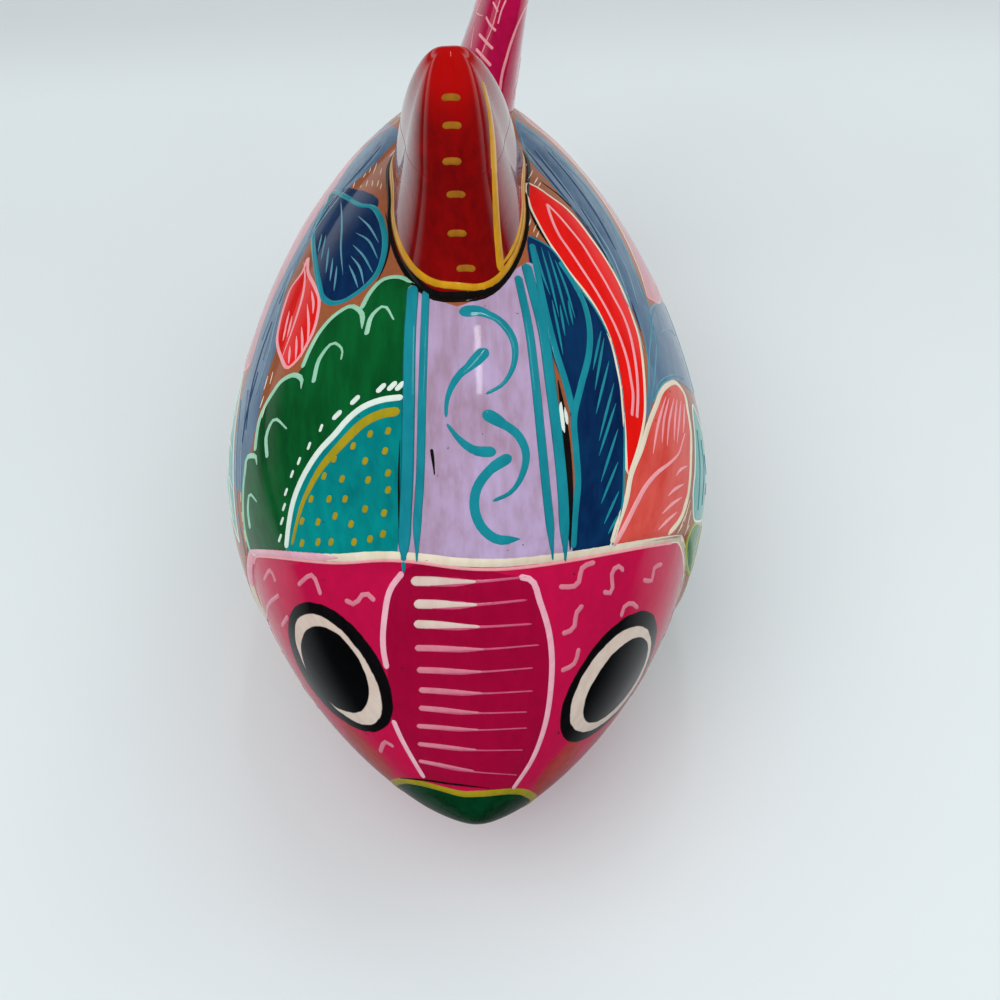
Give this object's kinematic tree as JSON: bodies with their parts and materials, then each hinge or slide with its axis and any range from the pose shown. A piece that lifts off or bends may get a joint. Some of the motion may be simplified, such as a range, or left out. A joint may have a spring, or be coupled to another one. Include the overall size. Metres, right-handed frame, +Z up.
{
  "type": "fish figurine",
  "caption": "Hollow painted terracotta fish figurine with a thick dorsal fin, an upright leaning tail, rounded lips and a flat pared belly to stand on.",
  "frame": {"origin": "on the table, under the middle of the figurine's length and width", "axes": "+Z up, +Y from the lips towards the tail, +X towards the viewer's right when the fish faces the viewer"},
  "size_m": [0.0804, 0.1674, 0.0985],
  "materials": {
    "painted_body": "terracotta painted with bright leaves, scallops and bands under a thick gloss varnish",
    "bare_clay": "unpainted low-fired terracotta",
    "green_lip": "dark green paint with an olive line under gloss varnish",
    "red_fin": "deep red paint with gold strokes under gloss varnish",
    "magenta_tail": "magenta paint with pink strokes under gloss varnish"
  },
  "bodies": {
    "root": {"left_body_shell": "painted_body", "right_body_shell": "painted_body", "seam_roll": "bare_clay", "upper_lip": "green_lip", "lower_lip": "green_lip", "dorsal_fin": "red_fin", "dorsal_fin_roll": "red_fin", "tail_fin": "magenta_tail", "tail_fillets": "magenta_tail"}
  },
  "joints": []
}
